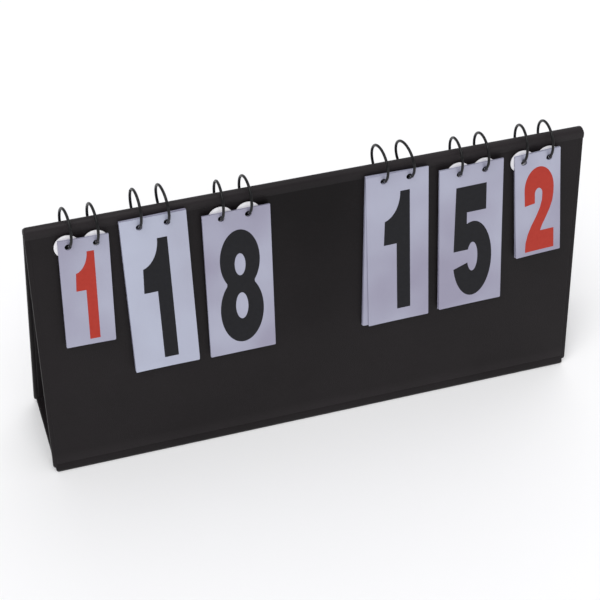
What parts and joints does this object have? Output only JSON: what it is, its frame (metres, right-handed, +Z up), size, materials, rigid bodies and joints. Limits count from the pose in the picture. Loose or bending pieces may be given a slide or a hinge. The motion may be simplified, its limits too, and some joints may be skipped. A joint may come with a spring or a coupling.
{
  "type": "tabletop flip scoreboard",
  "caption": "Folding tent-shaped scoreboard of covered board, with packs of numbered cards hung on hinged rings through its top edge, standing on a swing-down base.",
  "frame": {"origin": "middle of the stand's footprint, on the surface it stands on", "axes": "+X to the right of a person who reads the front cards, +Y from the front cards towards the back panel, +Z up"},
  "size_m": [0.61, 0.1194, 0.3373],
  "materials": {
    "vinyl": "pebbled black vinyl sheet, low sheen",
    "board": "dense grey board, sealed inside the vinyl",
    "closure": "black hook and loop strip",
    "eyelet": "black enamelled eyelet",
    "washer": "white smooth plastic",
    "card": "white coated card, glossy",
    "ring_wire": "black coated steel wire",
    "pin": "bare steel rivet",
    "black_print": "black ink under the gloss coat",
    "red_print": "red ink under the gloss coat"
  },
  "bodies": {
    "front_panel": {"front_board": "board", "front_cover": "vinyl", "front_eyelets": "eyelet", "front_hinge": "vinyl", "spine": "vinyl", "spacer_washers": "washer", "front_stack_cards": "card"},
    "rear_panel": {"rear_board": "board", "rear_cover": "vinyl", "rear_eyelets": "eyelet", "closure_tabs": "closure", "rear_stack_cards": "card"},
    "base": {"base_board": "board", "base_cover": "vinyl", "hinge_channel": "vinyl", "closure_strips": "closure"},
    "ring_pair_games_left": {"rings_games_left": "ring_wire", "ring_pins_games_left": "pin"},
    "front_card_games_left": {"card_games_left": "card", "numeral_games_left": "red_print"},
    "ring_gate_games_left_1": {"gate_games_left_1": "ring_wire"},
    "ring_gate_games_left_2": {"gate_games_left_2": "ring_wire"},
    "ring_pair_tens_left": {"rings_tens_left": "ring_wire", "ring_pins_tens_left": "pin"},
    "front_card_tens_left": {"card_tens_left": "card", "numeral_tens_left": "black_print"},
    "ring_gate_tens_left_1": {"gate_tens_left_1": "ring_wire"},
    "ring_gate_tens_left_2": {"gate_tens_left_2": "ring_wire"},
    "ring_pair_units_left": {"rings_units_left": "ring_wire", "ring_pins_units_left": "pin"},
    "front_card_units_left": {"card_units_left": "card", "numeral_units_left": "black_print"},
    "ring_gate_units_left_1": {"gate_units_left_1": "ring_wire"},
    "ring_gate_units_left_2": {"gate_units_left_2": "ring_wire"},
    "ring_pair_tens_right": {"rings_tens_right": "ring_wire", "ring_pins_tens_right": "pin"},
    "front_card_tens_right": {"card_tens_right": "card", "numeral_tens_right": "black_print"},
    "ring_gate_tens_right_1": {"gate_tens_right_1": "ring_wire"},
    "ring_gate_tens_right_2": {"gate_tens_right_2": "ring_wire"},
    "ring_pair_units_right": {"rings_units_right": "ring_wire", "ring_pins_units_right": "pin"},
    "front_card_units_right": {"card_units_right": "card", "numeral_units_right": "black_print"},
    "ring_gate_units_right_1": {"gate_units_right_1": "ring_wire"},
    "ring_gate_units_right_2": {"gate_units_right_2": "ring_wire"},
    "ring_pair_games_right": {"rings_games_right": "ring_wire", "ring_pins_games_right": "pin"},
    "front_card_games_right": {"card_games_right": "card", "numeral_games_right": "red_print"},
    "ring_gate_games_right_1": {"gate_games_right_1": "ring_wire"},
    "ring_gate_games_right_2": {"gate_games_right_2": "ring_wire"}
  },
  "joints": [
    {"name": "base_hinge", "type": "hinge", "parent": "front_panel", "child": "base", "pos_m": [0, -0.05904, 0.00591], "axis": [1, 0, 0], "range_deg": [-100, 0]},
    {"name": "spine_hinge", "type": "hinge", "parent": "front_panel", "child": "rear_panel", "pos_m": [0, -0.0039, 0.30998], "axis": [1, 0, 0], "range_deg": [-17.6, 0]},
    {"name": "flip_games_left", "type": "hinge", "parent": "front_panel", "child": "ring_pair_games_left", "pos_m": [-0.2485, -0.0039, 0.30668], "axis": [-1, 0, 0], "range_deg": [0, 279.34]},
    {"name": "swivel_games_left", "type": "hinge", "parent": "ring_pair_games_left", "child": "front_card_games_left", "pos_m": [-0.2485, -0.01658, 0.29173], "axis": [-1, 0, 0], "range_deg": [0, 61.67]},
    {"name": "gate_games_left_1_pin", "type": "hinge", "parent": "ring_pair_games_left", "child": "ring_gate_games_left_1", "pos_m": [-0.263, -0.01891, 0.29408], "axis": [-1, 0, 0], "range_deg": [-60, 0]},
    {"name": "gate_games_left_2_pin", "type": "hinge", "parent": "ring_pair_games_left", "child": "ring_gate_games_left_2", "pos_m": [-0.234, -0.01891, 0.29408], "axis": [-1, 0, 0], "range_deg": [-60, 0]},
    {"name": "flip_tens_left", "type": "hinge", "parent": "front_panel", "child": "ring_pair_tens_left", "pos_m": [-0.1745, -0.0039, 0.31628], "axis": [-1, 0, 0], "range_deg": [0, 289.86]},
    {"name": "swivel_tens_left", "type": "hinge", "parent": "ring_pair_tens_left", "child": "front_card_tens_left", "pos_m": [-0.1745, -0.01516, 0.30023], "axis": [-1, 0, 0], "range_deg": [0, 51.15]},
    {"name": "gate_tens_left_1_pin", "type": "hinge", "parent": "ring_pair_tens_left", "child": "ring_gate_tens_left_1", "pos_m": [-0.189, -0.01891, 0.30368], "axis": [-1, 0, 0], "range_deg": [-60, 0]},
    {"name": "gate_tens_left_2_pin", "type": "hinge", "parent": "ring_pair_tens_left", "child": "ring_gate_tens_left_2", "pos_m": [-0.16, -0.01891, 0.30368], "axis": [-1, 0, 0], "range_deg": [-60, 0]},
    {"name": "flip_units_left", "type": "hinge", "parent": "front_panel", "child": "ring_pair_units_left", "pos_m": [-0.0885, -0.0039, 0.30668], "axis": [-1, 0, 0], "range_deg": [0, 279.34]},
    {"name": "swivel_units_left", "type": "hinge", "parent": "ring_pair_units_left", "child": "front_card_units_left", "pos_m": [-0.0885, -0.01658, 0.29173], "axis": [-1, 0, 0], "range_deg": [0, 61.67]},
    {"name": "gate_units_left_1_pin", "type": "hinge", "parent": "ring_pair_units_left", "child": "ring_gate_units_left_1", "pos_m": [-0.103, -0.01891, 0.29408], "axis": [-1, 0, 0], "range_deg": [-60, 0]},
    {"name": "gate_units_left_2_pin", "type": "hinge", "parent": "ring_pair_units_left", "child": "ring_gate_units_left_2", "pos_m": [-0.074, -0.01891, 0.29408], "axis": [-1, 0, 0], "range_deg": [-60, 0]},
    {"name": "flip_tens_right", "type": "hinge", "parent": "front_panel", "child": "ring_pair_tens_right", "pos_m": [0.0885, -0.0039, 0.31628], "axis": [-1, 0, 0], "range_deg": [0, 289.86]},
    {"name": "swivel_tens_right", "type": "hinge", "parent": "ring_pair_tens_right", "child": "front_card_tens_right", "pos_m": [0.0885, -0.01516, 0.30023], "axis": [-1, 0, 0], "range_deg": [0, 51.15]},
    {"name": "gate_tens_right_1_pin", "type": "hinge", "parent": "ring_pair_tens_right", "child": "ring_gate_tens_right_1", "pos_m": [0.074, -0.01891, 0.30368], "axis": [-1, 0, 0], "range_deg": [-60, 0]},
    {"name": "gate_tens_right_2_pin", "type": "hinge", "parent": "ring_pair_tens_right", "child": "ring_gate_tens_right_2", "pos_m": [0.103, -0.01891, 0.30368], "axis": [-1, 0, 0], "range_deg": [-60, 0]},
    {"name": "flip_units_right", "type": "hinge", "parent": "front_panel", "child": "ring_pair_units_right", "pos_m": [0.1745, -0.0039, 0.30668], "axis": [-1, 0, 0], "range_deg": [0, 279.34]},
    {"name": "swivel_units_right", "type": "hinge", "parent": "ring_pair_units_right", "child": "front_card_units_right", "pos_m": [0.1745, -0.01658, 0.29173], "axis": [-1, 0, 0], "range_deg": [0, 61.67]},
    {"name": "gate_units_right_1_pin", "type": "hinge", "parent": "ring_pair_units_right", "child": "ring_gate_units_right_1", "pos_m": [0.16, -0.01891, 0.29408], "axis": [-1, 0, 0], "range_deg": [-60, 0]},
    {"name": "gate_units_right_2_pin", "type": "hinge", "parent": "ring_pair_units_right", "child": "ring_gate_units_right_2", "pos_m": [0.189, -0.01891, 0.29408], "axis": [-1, 0, 0], "range_deg": [-60, 0]},
    {"name": "flip_games_right", "type": "hinge", "parent": "front_panel", "child": "ring_pair_games_right", "pos_m": [0.2485, -0.0039, 0.30668], "axis": [-1, 0, 0], "range_deg": [0, 279.34]},
    {"name": "swivel_games_right", "type": "hinge", "parent": "ring_pair_games_right", "child": "front_card_games_right", "pos_m": [0.2485, -0.01658, 0.29173], "axis": [-1, 0, 0], "range_deg": [0, 61.67]},
    {"name": "gate_games_right_1_pin", "type": "hinge", "parent": "ring_pair_games_right", "child": "ring_gate_games_right_1", "pos_m": [0.234, -0.01891, 0.29408], "axis": [-1, 0, 0], "range_deg": [-60, 0]},
    {"name": "gate_games_right_2_pin", "type": "hinge", "parent": "ring_pair_games_right", "child": "ring_gate_games_right_2", "pos_m": [0.263, -0.01891, 0.29408], "axis": [-1, 0, 0], "range_deg": [-60, 0]}
  ],
  "couplings": [
    {"joint": "spine_hinge", "follows": "base_hinge", "ratio": 0.176},
    {"joint": "swivel_games_left", "follows": "flip_games_left", "ratio": 0.22073},
    {"joint": "swivel_tens_left", "follows": "flip_tens_left", "ratio": 0.17644},
    {"joint": "swivel_units_left", "follows": "flip_units_left", "ratio": 0.22073},
    {"joint": "swivel_tens_right", "follows": "flip_tens_right", "ratio": 0.17644},
    {"joint": "swivel_units_right", "follows": "flip_units_right", "ratio": 0.22073},
    {"joint": "swivel_games_right", "follows": "flip_games_right", "ratio": 0.22073}
  ]
}
